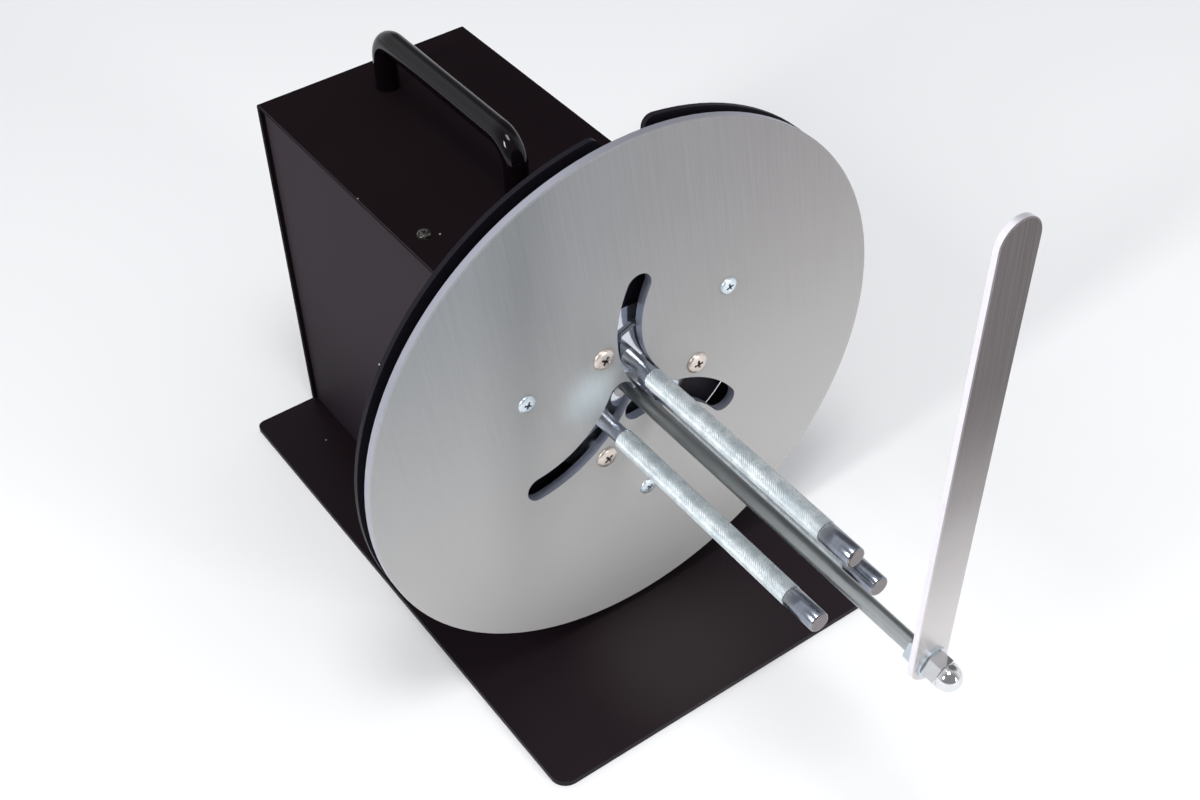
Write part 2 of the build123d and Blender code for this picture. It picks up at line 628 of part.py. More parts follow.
# Core rod: a neck through the slot, the long knurled part that grips the core
# and a plain tip. It stands on the arm, held by a countersunk screw.
knurl_back_y = disc_face_y - rod_neck_stand
knurl_front_y = knurl_back_y - rod_knurl_length
tip_y = knurl_front_y - rod_tip_length
rod = bar(rod_tip_diameter, tip_y, knurl_front_y, rod_spot)
rod = chamfer(rod.edges().filter_by(GeomType.CIRCLE).sort_by(Axis.Y)[0], rod_tip_chamfer)
rod += bar(rod_knurl_diameter, knurl_front_y, knurl_back_y, rod_spot)
rod += bar(rod_neck_diameter, knurl_back_y, arm_front_y, rod_spot)
rod -= bar(rod_screw_diameter + 2 * thread_fit, arm_front_y - rod_screw_grip - rod_bore_extra,
           arm_front_y, rod_spot)
rod_screw = flat_screw(rod_screw_diameter, rod_screw_head_diameter, arm_thickness + rod_screw_grip, rod_back)
drive_pin = bar(drive_pin_diameter, arm_front_y, cam_back_y - drive_pin_short, pin_spot)
for n, letter in enumerate("abc"[:arm_count]):
    save(f"swing_arm_{letter}", arm.rotate(winding_axis, n * turn_step))
    save(f"core_rod_{letter}", rod.rotate(winding_axis, n * turn_step))
    save(f"rod_screw_{letter}", rod_screw.rotate(winding_axis, n * turn_step))
    save(f"drive_pin_{letter}", drive_pin.rotate(winding_axis, n * turn_step))

# ================================================================== cam disc
# Disc and arm turn through equal angles, so seen from the disc each drive pin
# runs along an arc of the pivot's radius about its own offset from the pivot.
cam_arc = CenterArc(pin_offset, pivot_radius, pivot_angle - closing_swing_angle - cam_overrun_angle,
                    closing_swing_angle + opening_swing_angle + 2 * cam_overrun_angle)
cam_slot = SlotArc(cam_arc, drive_pin_diameter + 2 * running_fit)
notch = Pos(cam_disc_diameter / 2, 0) * Rectangle(2 * notch_depth, notch_width)
cam_outline = Circle(cam_disc_diameter / 2) - Rot(0, 0, notch_angle) * notch
cam_outline = fillet(cam_outline.vertices().sort_by_distance((0, 0, 0))[:2], notch_bottom_radius)
cam_outline = fillet(cam_outline.vertices().sort_by_distance((0, 0, 0))[-2:], notch_rim_radius)
cam_disc = slab(cam_outline, cam_face_y, cam_disc_thickness)
cam_disc = chamfer(cam_disc.edges().group_by(Axis.Y)[-1], cam_disc_rim_chamfer)
cam_disc -= bar(journal_diameter + 2 * running_fit, cam_face_y, cam_back_y)
for n in range(arm_count):
    cam_disc -= slab(Rot(0, 0, n * turn_step) * cam_slot, cam_face_y, cam_disc_thickness)
save("cam_disc", cam_disc)

# ===================================================================== crank
rod_end_y = crank_washer_face_y - cap_nut_thread_depth
save("crank_rod", bar(crank_rod_diameter, rod_end_y, hub_face_y + crank_thread_depth))
crank_outline = Rot(0, 0, crank_arm_angle) * Pos(crank_arm_reach / 2, 0) * SlotCenterToCenter(
    crank_arm_reach, crank_arm_width)
crank_arm = slab(crank_outline, crank_arm_face_y, crank_arm_thickness)
crank_arm = chamfer(crank_arm.edges().group_by(Axis.Y)[0], crank_arm_edge_chamfer)
crank_arm -= bar(crank_rod_diameter + 2 * thread_fit, crank_arm_face_y, crank_arm_back_y)
save("crank_arm", crank_arm)
nut_bore = crank_rod_diameter + 2 * thread_fit
lock_nut = front_view(crank_arm_back_y + lock_nut_height) * hexagon(lock_nut_width, lock_nut_height)
lock_nut -= bar(nut_bore, crank_arm_back_y, crank_arm_back_y + lock_nut_height)
save("crank_lock_nut", lock_nut)
save("crank_washer", tube(crank_washer_diameter, nut_bore, crank_washer_face_y, crank_arm_face_y))

# Domed cap nut over the rod's end: a hexagon with a round top.
cap_base = front_view(crank_washer_face_y)
dome_radius = cap_nut_dome_diameter / 2
dome_foot = cap_nut_height - dome_radius
cap_nut = hexagon(cap_nut_width, cap_nut_hex_height)
cap_nut += Cylinder(dome_radius, dome_foot, align=(Align.CENTER, Align.CENTER, Align.MIN))
cap_nut += Pos(0, 0, dome_foot) * Sphere(dome_radius)
cap_nut -= Cylinder(nut_bore / 2, cap_nut_thread_depth + cap_nut_bore_extra,
                    align=(Align.CENTER, Align.CENTER, Align.MIN))
save("cap_nut", cap_base * cap_nut)
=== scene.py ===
import bmesh
import bpy
from math import cos, pi, radians, sin
from mathutils import Matrix, Vector


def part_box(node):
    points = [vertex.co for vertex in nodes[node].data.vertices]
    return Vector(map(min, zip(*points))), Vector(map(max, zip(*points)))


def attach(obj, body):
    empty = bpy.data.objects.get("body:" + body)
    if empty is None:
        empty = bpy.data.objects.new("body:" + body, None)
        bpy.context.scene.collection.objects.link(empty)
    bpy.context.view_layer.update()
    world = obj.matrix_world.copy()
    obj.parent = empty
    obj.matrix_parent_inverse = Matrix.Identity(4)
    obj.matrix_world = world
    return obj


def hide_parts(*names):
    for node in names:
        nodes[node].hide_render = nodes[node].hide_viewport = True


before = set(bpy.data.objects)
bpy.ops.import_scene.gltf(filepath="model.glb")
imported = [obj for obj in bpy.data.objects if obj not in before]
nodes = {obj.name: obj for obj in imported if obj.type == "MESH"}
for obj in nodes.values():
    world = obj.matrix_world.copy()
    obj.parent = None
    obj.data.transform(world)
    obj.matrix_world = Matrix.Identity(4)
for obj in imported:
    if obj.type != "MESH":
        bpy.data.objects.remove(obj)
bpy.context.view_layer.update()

# ------------------------------------------------------------------- camera
# The photographer stands to the left of the crank and looks down on the
# machine, along the rods, from about 43 degrees above the bench.
camera_data = bpy.data.cameras.new("camera")
camera_data.sensor_width = 36.0
camera_data.lens = 51.3205
camera = bpy.data.objects.new("camera", camera_data)
camera.matrix_world = Matrix(((0.8117317, 0.4141522, -0.4117883, -0.362508),
                              (-0.5834828, 0.5445523, -0.6025036, -0.589089),
                              (-0.0252879, 0.7293427, 0.6836811, 0.733286),
                              (0.0, 0.0, 0.0, 1.0)))
bpy.context.scene.collection.objects.link(camera)
bpy.context.scene.camera = camera
bpy.context.scene.view_settings.view_transform = "Standard"


# --------------------------------------------------------------- base plate
# A flat 3 mm steel sheet with rounded corners that everything stands on. It
# is powder coated black-brown, with a fine orange peel. A painted bluish
# highlight lies along its edges, and it is painted paler in a soft patch in
# front of the disc and towards the front right.
class Sock:
    """An output socket of a node board, which takes part in arithmetic."""

    def __init__(self, board, out):
        self.board = board
        self.out = out

    def math(self, operation, *others):
        values = dict(enumerate((self, *others)))
        return self.board.add("ShaderNodeMath", {"operation": operation}, values)

    def __add__(self, other):
        return self.math("ADD", other)

    def __sub__(self, other):
        return self.math("SUBTRACT", other)

    def __rsub__(self, other):
        return self * -1.0 + other

    def __mul__(self, other):
        return self.math("MULTIPLY", other)

    def __truediv__(self, other):
        return self.math("DIVIDE", other)

    def __or__(self, other):
        """The larger of two values."""
        return self.math("MAXIMUM", other)

    def __and__(self, other):
        """The smaller of two values."""
        return self.math("MINIMUM", other)

    __radd__ = __add__
    __rmul__ = __mul__

    def rise(self, low, high):
        """0 up to low and 1 from high, with a smooth climb between them."""
        return self.board.add("ShaderNodeMapRange", {"interpolation_type": "SMOOTHSTEP"},
                              {"Value": self, "From Min": low, "From Max": high})


class Board:
    """A tree of nodes, of a finish, a shape or a room."""

    def add(self, kind, settings=None, values=None, out=0):
        made = self.tree.nodes.new(kind)
        for key, value in (settings or {}).items():
            setattr(made, key, value)
        for key, value in (values or {}).items():
            named = [s for s in made.inputs if s.identifier == key]
            socket = named[0] if named else made.inputs[key]
            for item in value if isinstance(value, list) else [value]:
                if isinstance(item, Sock):
                    self.tree.links.new(item.out, socket)
                else:
                    socket.default_value = item
        return Sock(self, made.outputs[out])

    def split(self, vector):
        """A vector's X, Y and Z."""
        parts = self.add("ShaderNodeSeparateXYZ", {}, {0: vector}).out.node
        return [Sock(self, out) for out in parts.outputs]


class Finish(Board):
    """A surface finish: one material, its patterns in metres on the piece."""

    def __init__(self, name):
        self.material = bpy.data.materials.new(name)
        self.material.use_nodes = True
        self.tree = self.material.node_tree
        self.shader = self.tree.nodes["Principled BSDF"]
        self.on_piece = self.add("ShaderNodeTexCoord", out="Object")

    def stretched(self, stretch, turn=(0.0, 0.0, 0.0)):
        """The piece's own coordinates, turned and then stretched."""
        turned = self.add("ShaderNodeMapping", {}, {"Vector": self.on_piece, "Rotation": turn})
        return self.add("ShaderNodeVectorMath", {"operation": "MULTIPLY"}, {0: turned, 1: stretch})

    def noise(self, scale, detail=2.0, roughness=0.5, place=None):
        return self.add("ShaderNodeTexNoise", {}, {"Vector": place or self.on_piece, "Scale": scale,
                                                   "Detail": detail, "Roughness": roughness})

    def away(self, centre):
        """Distance from a place on the piece."""
        return self.add("ShaderNodeVectorMath", {"operation": "DISTANCE"}, {0: self.on_piece, 1: centre},
                        out="Value")

    def mix(self, factor, low, high):
        low, high = ((*shade, 1.0) if isinstance(shade, tuple) else shade for shade in (low, high))
        return self.add("ShaderNodeMix", {"data_type": "RGBA"},
                        {"Factor_Float": factor, "A_Color": low, "B_Color": high}, out=2)

    def bump(self, height, distance, strength):
        return self.add("ShaderNodeBump", {}, {"Height": height, "Distance": distance, "Strength": strength})

    def edges(self, radius):
        """1 on sharp edges and 0 on flat faces, as far in as the radius."""
        rounded = self.add("ShaderNodeBevel", {"samples": 4}, {"Radius": radius})
        plain = self.add("ShaderNodeNewGeometry", out="True Normal")
        alike = self.add("ShaderNodeVectorMath", {"operation": "DOT_PRODUCT"}, {0: rounded, 1: plain},
                         out="Value")
        return (1.0 - alike).rise(0.01, 0.16)

    def narrow(self):
        """1 on the rims of a sheet that stands across Y, and 0 on its two faces."""
        facing = self.split(self.add("ShaderNodeNewGeometry", out="True Normal"))[1]
        return 1.0 - (facing * facing).rise(0.2, 0.6)

    def hollow(self, depth):
        """How open a face is to light: 1 on open faces and less in recesses about as deep as this, used to
        paint shade.
        """
        return self.add("ShaderNodeAmbientOcclusion", {"samples": 8, "only_local": True},
                        {"Distance": depth}, out="AO").rise(0.35, 0.95)

    def chip(self, centre, radius):
        """1 inside a small ragged chip of the coat."""
        torn = self.away(centre) + (self.noise(900.0, 3.0) - 0.5) * (radius * 1.4)
        return 1.0 - torn.rise(radius * 0.8, radius)

    def paint(self, **sockets):
        """Sets or links the shader's sockets, named with _ for spaces."""
        for key, value in sockets.items():
            socket = self.shader.inputs[key.replace("_", " ")]
            if isinstance(value, Sock):
                self.tree.links.new(value.out, socket)
            else:
                socket.default_value = (*value, 1.0) if isinstance(value, tuple) else value


def dress(finish, *names):
    """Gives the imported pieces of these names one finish."""
    for name in names:
        nodes[name].data.materials.clear()
        nodes[name].data.materials.append(finish.material)


plate_top = 0.003
pale_patch_place = (0.003, -0.1323, plate_top)
plate_chip = (-0.0773, 0.1271, plate_top)
plate_dark, plate_pale = (0.0070, 0.0036, 0.0054), (0.0115, 0.0070, 0.0090)
plate_front_right_pale, plate_patch_pale = (0.031, 0.024, 0.029), (0.045, 0.038, 0.036)
plate_edge_highlight, plate_primer = (0.034, 0.038, 0.058), (0.26, 0.17, 0.17)

plate_coat = Finish("plate_coat")
peel = plate_coat.noise(1400.0)
cloud = plate_coat.noise(7.0, 3.0)
x, y, _ = plate_coat.split(plate_coat.on_piece)
to_front_right = (0.02 - y + x * 0.5).rise(0.0, 0.28)
# a soft paler patch on the plate in front of the disc
front_pale_patch = 1.0 - (plate_coat.away(pale_patch_place) + cloud * 0.02).rise(0.015, 0.085)
shade = plate_coat.mix(cloud, plate_dark, plate_pale)
# the plate grows paler towards the front right
shade = plate_coat.mix(to_front_right * 0.5, shade, plate_front_right_pale)
shade = plate_coat.mix(front_pale_patch * 0.55, shade, plate_patch_pale)
# painted highlight: a bluish light along the plate's edges
shade = plate_coat.mix(plate_coat.edges(0.0007) * 0.75, shade, plate_edge_highlight)
shade = plate_coat.mix(plate_coat.chip(plate_chip, 0.0006), shade, plate_primer)
plate_coat.paint(Base_Color=shade, Roughness=0.36 + cloud * 0.2, Specular_IOR_Level=0.08,
                 Normal=plate_coat.bump(peel, 0.00004, 0.35))
dress(plate_coat, "base_plate")

# ------------------------------------------------------------------ housing
# A strip of 2 mm sheet folded into the front, top and back, and two shallow
# side trays set into its open ends. All are powder coated in a fine black
# texture, chipped to bare metal in a few places. A painted highlight lies
# along the strip's edges, and painted shade darkens the trays towards the
# base plate.
strip_chips = (-0.0650, 0.0560, 0.2215), (-0.0474, 0.0058, 0.2217)
strip_dark, strip_pale = (0.0070, 0.0040, 0.0052), (0.0105, 0.0066, 0.0085)
strip_edge_highlight, strip_metal = (0.075, 0.068, 0.080), (0.30, 0.28, 0.26)

strip_coat = Finish("strip_coat")
texture = strip_coat.noise(1900.0)
cloud = strip_coat.noise(11.0, 4.0)
chips = strip_coat.chip(strip_chips[0], 0.0006) | strip_coat.chip(strip_chips[1], 0.0006)
shade = strip_coat.mix(cloud, strip_dark, strip_pale)
# painted highlight along the strip's edges
shade = strip_coat.mix(strip_coat.edges(0.0007), shade, strip_edge_highlight)
strip_coat.paint(Base_Color=strip_coat.mix(chips, shade, strip_metal),
                 Roughness=0.66 + cloud * 0.1, Specular_IOR_Level=0.02,
                 Normal=strip_coat.bump(texture, 0.00005, 0.5))
dress(strip_coat, "housing_cover")

tray_chip = (-0.0632, 0.0641, 0.1022)
tray_dark, tray_pale = (0.024, 0.0165, 0.0225), (0.036, 0.0275, 0.0340)
tray_low_shade, tray_metal = (0.014, 0.0105, 0.0145), (0.75, 0.75, 0.72)

side_coat = Finish("side_coat")
texture = side_coat.noise(1900.0)
cloud = side_coat.noise(9.0, 4.0)
height = side_coat.split(side_coat.on_piece)[2]
# painted shade: the trays grow darker towards the base plate
near_plate = 1.0 - height.rise(0.03, 0.14)
shade = side_coat.mix(cloud, tray_dark, tray_pale)
shade = side_coat.mix(near_plate * 0.7, shade, tray_low_shade)
shade = side_coat.mix(side_coat.chip(tray_chip, 0.0010), shade, tray_metal)
side_coat.paint(Base_Color=shade, Roughness=0.6 + cloud * 0.1, Specular_IOR_Level=0.08,
                Normal=side_coat.bump(texture, 0.00005, 0.5))
dress(side_coat, "side_panel_left", "side_panel_right")


# ------------------------------------------------------------- cover screws
# Two M4 pan heads with a cross recess hold the strip down onto the side
# trays. They are black coated with the housing and rubbed bright in specks.
class Shape(Board):
    """A geometry tree with named inputs, run once into a plain mesh."""

    def __init__(self, name, finish, **sizes):
        self.tree = bpy.data.node_groups.new(name, "GeometryNodeTree")
        face = self.tree.interface
        face.new_socket("Places", in_out="INPUT", socket_type="NodeSocketGeometry")
        face.new_socket("Geometry", in_out="OUTPUT", socket_type="NodeSocketGeometry")
        kinds = {float: "NodeSocketFloat", int: "NodeSocketInt", tuple: "NodeSocketVector"}
        coat = face.new_socket("Finish", in_out="INPUT", socket_type="NodeSocketMaterial")
        self.sizes = {coat.identifier: finish.material}
        for label, value in sizes.items():
            made = face.new_socket(label, in_out="INPUT", socket_type=kinds[type(value)])
            self.sizes[made.identifier] = value
        self.inlet = self.tree.nodes.new("NodeGroupInput")
        self.outlet = self.tree.nodes.new("NodeGroupOutput")

    def given(self, label):
        return Sock(self, self.inlet.outputs[label])

    def point(self, x, y, z):
        return self.add("ShaderNodeCombineXYZ", {}, {0: x, 1: y, 2: z})

    def skin(self, columns, rows, move):
        """A closed skin: a grid whose points go where move says, from shares 0 to 1."""
        grid = self.add("GeometryNodeMeshGrid", {}, {"Size X": 1.0, "Size Y": 1.0,
                                                     "Vertices X": columns, "Vertices Y": rows})
        across, up, _ = self.split(self.add("GeometryNodeInputPosition"))
        moved = self.add("GeometryNodeSetPosition", {}, {"Geometry": grid,
                                                         "Position": move(across + 0.5, up + 0.5)})
        return self.add("GeometryNodeMergeByDistance", {}, {"Geometry": moved, "Distance": 0.000004})

    def make(self, name, geometry, places=((0.0, 0.0, 0.0),), turns=(0.0,)):
        """Runs the tree at its places and leaves one plain mesh at the origin."""
        real = self.add("GeometryNodeRealizeInstances", {}, {"Geometry": geometry})
        dressed = self.add("GeometryNodeSetMaterial", {},
                           {"Geometry": real, "Material": self.given("Finish")})
        self.tree.links.new(dressed.out, self.outlet.inputs[0])
        base = bpy.data.meshes.new(name + "_places")
        base.from_pydata(places, [], [])
        base.attributes.new("turn", "FLOAT", "POINT").data.foreach_set("value", turns)
        maker = bpy.data.objects.new(name + "_maker", base)
        bpy.context.scene.collection.objects.link(maker)
        modifier = maker.modifiers.new("shape", "NODES")
        modifier.node_group = self.tree
        for identifier, value in self.sizes.items():
            modifier[identifier] = value
        shaped = maker.evaluated_get(bpy.context.evaluated_depsgraph_get())
        mesh = bpy.data.meshes.new_from_object(shaped)
        bpy.data.objects.remove(maker)
        mesh.materials.pop(index=0)
        piece = bpy.data.objects.new(name, mesh)
        bpy.context.scene.collection.objects.link(piece)
        return piece


def pan_heads(name, finish, places, tilt, turns, head, height, shank, length):
    """Pan-head screws with a cross recess: heads at the places, shanks behind."""
    recess_share, recess_depth_share, arm_share, narrowing = 0.64, 0.85, 0.25, 0.28
    dome_columns, dome_rows, underside_share, roundness = 33, 21, 0.1, 0.72
    shape = Shape(name, finish, HeadDiameter=head, HeadHeight=height, ShankDiameter=shank,
                  ShankLength=length, RecessWidth=head * recess_share,
                  RecessDepth=height * recess_depth_share, SlotShare=arm_share, Tilt=tilt)
    radius, tall = shape.given("HeadDiameter") * 0.5, shape.given("HeadHeight")
    wide, deep = shape.given("RecessWidth"), shape.given("RecessDepth")

    def dome(across, up):
        # Rows run from the middle of the underside, round the rim, to the top.
        swing = (1.0 - ((up - underside_share) / (1.0 - underside_share) | 0.0)) * (pi / 2)
        out = swing.math("SINE").math("POWER", roundness) * radius * up.rise(0.0, underside_share / 2)
        angle = across * (2 * pi)
        return shape.point(angle.math("COSINE") * out, angle.math("SINE") * out,
                           swing.math("COSINE").math("POWER", roundness) * tall)

    blades = []
    thin = wide * shape.given("SlotShare")
    for across, along in ((wide, thin), (thin, wide)):
        blade = shape.add("GeometryNodeMeshCube", {}, {"Size": shape.point(across, along, deep * 2.0)})
        x, y, z = shape.split(shape.add("GeometryNodeInputPosition"))
        taper = (1.0 - narrowing) + z / deep * narrowing
        blades.append(shape.add("GeometryNodeSetPosition", {}, {
            "Geometry": blade, "Position": shape.point(x * taper, y * taper, z + tall)}))
    recessed = shape.add("GeometryNodeMeshBoolean", {"operation": "DIFFERENCE", "solver": "EXACT"},
                         {"Mesh 1": shape.skin(dome_columns, dome_rows, dome), "Mesh 2": blades})
    stem = shape.add("GeometryNodeMeshCylinder", {}, {
        "Vertices": 24, "Radius": shape.given("ShankDiameter") * 0.5, "Depth": shape.given("ShankLength")})
    stem = shape.add("GeometryNodeTransform", {}, {
        "Geometry": stem, "Translation": shape.point(0.0, 0.0, shape.given("ShankLength") * -0.5)})
    screw = shape.add("GeometryNodeJoinGeometry", {}, {"Geometry": [stem, recessed]})
    turn = shape.add("GeometryNodeInputNamedAttribute", {"data_type": "FLOAT"}, {"Name": "turn"})
    tilted = shape.add("FunctionNodeEulerToRotation", {}, {0: shape.given("Tilt")})
    turned_round = shape.add("FunctionNodeEulerToRotation", {}, {0: shape.point(0.0, 0.0, turn)})
    facing = shape.add("FunctionNodeRotateRotation", {"rotation_space": "LOCAL"},
                       {"Rotation": tilted, "Rotate By": turned_round})
    screws = shape.add("GeometryNodeInstanceOnPoints", {}, {
        "Points": shape.given("Places"), "Instance": screw, "Rotation": facing})
    piece = shape.make(name, screws, places, turns)
    piece.data.shade_smooth()
    piece.data.set_sharp_from_angle(angle=radians(40.0))
    return piece


black_zinc = Finish("black_zinc")
speck = black_zinc.noise(2200.0).rise(0.55, 0.64)
bright = (black_zinc.edges(0.0004) * 0.6 + speck * 0.7) & 1.0
black_zinc.paint(Base_Color=black_zinc.mix(bright, (0.012, 0.010, 0.011), (0.42, 0.40, 0.36)),
                 Metallic=0.7, Roughness=0.4 - speck * 0.15)

cover_low, cover_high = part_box("cover_screws")
cover_head, cover_stand = 0.0076, 0.0022
cover_seat = cover_high[2] - cover_stand
cover_places = [(x, (cover_low[1] + cover_high[1]) / 2, cover_seat)
                for x in (cover_low[0] + cover_head / 2, cover_high[0] - cover_head / 2)]
cover_screws = pan_heads("cover_screws_made", black_zinc, cover_places, tilt=(0.0, 0.0, 0.0),
                         turns=[0.6, 1.1], head=cover_head, height=cover_stand, shank=0.004,
                         length=cover_seat - cover_low[2])
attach(cover_screws, "stand")
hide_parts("cover_screws")

# ------------------------------------------------------------- carry handle
# A 13 mm round bar bent into a flat-topped hoop, stove enamelled in glossy
# black and held by a screw up each leg.
enamel = Finish("enamel")
sag = enamel.noise(190.0)
dust = enamel.noise(2600.0).rise(0.66, 0.72)
enamel.paint(Base_Color=enamel.mix(dust * 0.3, (0.0035, 0.0022, 0.0032), (0.03, 0.027, 0.028)),
             Roughness=0.06 + sag * 0.06, Specular_IOR_Level=0.24, Normal=enamel.bump(sag, 0.00005, 0.25))
dress(enamel, "carry_handle")

# ----------------------------------------------------------------- cam disc
# The 3 mm disc behind the flange disc, which swings the three arms together.
# It is blacked to a satin, and its rim carries a painted highlight.
cam_dark, cam_pale, cam_rim_highlight = (0.007, 0.006, 0.010), (0.013, 0.011, 0.016), (0.035, 0.035, 0.055)

cam_black = Finish("cam_black")
tooth = cam_black.noise(900.0, 3.0)
shade = cam_black.mix(tooth, cam_dark, cam_pale)
# painted highlight along the cam disc's rim and edges
shade = cam_black.mix(cam_black.edges(0.0006) * 0.4, shade, cam_rim_highlight)
cam_black.paint(Base_Color=shade, Roughness=0.4 + tooth * 0.1, Specular_IOR_Level=0.1,
                Normal=cam_black.bump(tooth, 0.00003, 0.3))
dress(cam_black, "cam_disc")

# --------------------------------------------------------------- front disc
# The 5 mm aluminium flange disc that guides the roll. Its face is brushed in
# one direction and painted lighter towards the bottom as light. Its rim and
# slots are milled glossier than the face, and their pale tone is partly their
# own and partly a painted highlight, as is a pale line along its edges. A
# painted pale bluish sheen lies beside the rods.
axis_height = 0.1595
disc_centre, sheen_place = (0.0, -0.088, axis_height), (-0.026, -0.0903, 0.172)
brushing_turn = (0.0, radians(7.0), 0.0)
left_grey, right_grey, low_lit_grey = (0.212, 0.227, 0.239), (0.235, 0.221, 0.223), (0.49, 0.48, 0.47)
streak_grey, sheen_blue = (0.52, 0.515, 0.52), (0.58, 0.67, 0.71)
slot_wall_lit, rim_lit_grey = (0.31, 0.33, 0.41), (0.38, 0.385, 0.445)

brushed = Finish("brushed")
streak = brushed.noise(1.0, 3.0, 0.6, brushed.stretched((1700.0, 30.0, 30.0), brushing_turn))
lines = brushed.noise(1.0, 2.0, 0.7, brushed.stretched((520.0, 9.0, 9.0), brushing_turn))
x, _, z = brushed.split(brushed.on_piece)
shade = brushed.mix((x * 4.0 + 0.5).rise(0.0, 1.0), left_grey, right_grey)
# painted light: the face grows lighter towards the bottom
shade = brushed.mix(1.0 - z.rise(0.02, 0.32), shade, low_lit_grey)
shade = brushed.mix((streak * 0.6 + lines * 0.4).rise(0.25, 0.75) * 0.14, shade, streak_grey)
# painted sheen: a pale bluish patch of light beside the rods
disc_sheen = 1.0 - (brushed.away(sheen_place) + streak * 0.012).rise(0.008, 0.030)
shade = brushed.mix(disc_sheen * 0.62, shade, sheen_blue)
milled = brushed.narrow()
# the milled rim and slot walls and the face's edges are painted paler: partly their own milled tone, partly
# painted highlight
milled_and_lit_grey = brushed.mix(brushed.away(disc_centre).rise(0.09, 0.11), slot_wall_lit, rim_lit_grey)
shade = brushed.mix(milled | brushed.edges(0.0007) * 0.5, shade, milled_and_lit_grey)
brushed.paint(Base_Color=shade, Metallic=0.3 + milled * 0.3, Roughness=0.42 + streak * 0.14 - milled * 0.12,
              Normal=brushed.bump(streak, 0.00002, 0.25))
dress(brushed, "front_disc")

# ------------------------------------------------------- swing arms and hub
# Three arms laser cut from 2 mm sheet, and the turned steel hub behind them.
# They are nickel plated to a mirror, with the faint ripple of thin plate, and
# a dark, less metallic patch of painted shade lies on the lower right arm
# behind its slot.
slot_shade_place = (0.054, -0.082, 0.128)
nickel_dark, nickel_pale, slot_shade_black = (0.52, 0.55, 0.61), (0.70, 0.73, 0.78), (0.010, 0.007, 0.010)

mirror_plate = Finish("mirror_plate")
ripple = mirror_plate.noise(70.0)
# painted shade: a dark, rough, less metallic patch behind the lower right slot
slot_shade = 1.0 - mirror_plate.away(slot_shade_place).rise(0.022, 0.032)
shade = mirror_plate.mix(ripple, nickel_dark, nickel_pale)
mirror_plate.paint(Base_Color=mirror_plate.mix(slot_shade, shade, slot_shade_black), Metallic=1.0 - slot_shade,
                   Specular_IOR_Level=0.1, Roughness=0.05 + ripple * 0.08 + slot_shade * 0.4,
                   Normal=mirror_plate.bump(ripple, 0.0002, 0.2))
dress(mirror_plate, "swing_arm_a", "swing_arm_b", "swing_arm_c", "hub")

# ------------------------------------------------------------------- pivots
# Each arm swings on a shouldered stud between thrust washers, and an M5 pan
# head through the disc holds the stud. All are zinc plated steel, and so are
# the hub's spacers.
zinc = Finish("zinc")
ring = zinc.noise(1.0, 3.0, 0.5, zinc.stretched((70.0, 1500.0, 70.0)))
frost = zinc.noise(110.0, 3.0).rise(0.3, 0.7)
zinc.paint(Base_Color=zinc.mix(frost, (0.46, 0.50, 0.56), (0.60, 0.64, 0.69)), Metallic=1.0,
           Roughness=0.22 + ring * 0.16, Normal=zinc.bump(ring, 0.00002, 0.3))
dress(zinc, "pivot_studs", "pivot_washers", "hub_spacers")

face_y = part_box("front_disc")[0][1]
facing_crank = (pi / 2, 0.0, 0.0)


def on_disc(circle, first_angle):
    """Three places on the disc's face, evenly round a circle of this diameter."""
    turns = [radians(first_angle + 120.0 * n) for n in range(3)]
    return [(circle / 2 * cos(turn), face_y, axis_height + circle / 2 * sin(turn)) for turn in turns]


pivot_circle, pivot_angle = 0.139, 35.5
pivot_dark, pivot_pale, pivot_recess_shade = (0.58, 0.66, 0.72), (0.76, 0.83, 0.88), (0.22, 0.27, 0.33)

pivot_zinc = Finish("pivot_zinc")
mottle = pivot_zinc.noise(600.0, 3.0)
shade = pivot_zinc.mix(mottle, pivot_dark, pivot_pale)
# painted shade in the cross recess, from ambient occlusion
shade = pivot_zinc.mix(pivot_zinc.hollow(0.0012), pivot_recess_shade, shade)
pivot_zinc.paint(Base_Color=shade, Metallic=0.85, Roughness=0.26 + mottle * 0.2,
                 Normal=pivot_zinc.bump(mottle, 0.00003, 0.5))
pivot_screws = pan_heads("pivot_screws_made", pivot_zinc, on_disc(pivot_circle, pivot_angle),
                         tilt=facing_crank, turns=[0.25, 1.2, 0.7], head=0.0098, height=0.0020,
                         shank=0.005, length=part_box("pivot_screws")[1][1] - face_y)
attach(pivot_screws, "spindle_and_crank")
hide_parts("pivot_screws")

# --------------------------------------------------------- hidden fasteners
# Screws and nuts that no one sees in use. Those of the base, the handle, the
# bearing carrier and the cover are zinc plated. The rods' screws, the set
# screws and the retaining ring are blacked.
dress(zinc, "base_screws", "base_nuts", "cover_nuts", "handle_screws", "bearing_housing_screws")
dress(black_zinc, "retaining_ring", "hub_set_screws", "collar_set_screws", "rod_screw_a", "rod_screw_b",
      "rod_screw_c")

# --------------------------------------------------------------- hub screws
# Three M6 pan heads join the disc to the hub through spacers. They are plated
# in a warm, slightly pink nickel.
hub_circle, hub_angle = 0.0755, 0.0
warm_dark, warm_pale, warm_recess_shade = (0.60, 0.53, 0.48), (0.80, 0.72, 0.66), (0.060, 0.042, 0.038)

warm_nickel = Finish("warm_nickel")
mottle = warm_nickel.noise(500.0, 3.0)
shade = warm_nickel.mix(mottle, warm_dark, warm_pale)
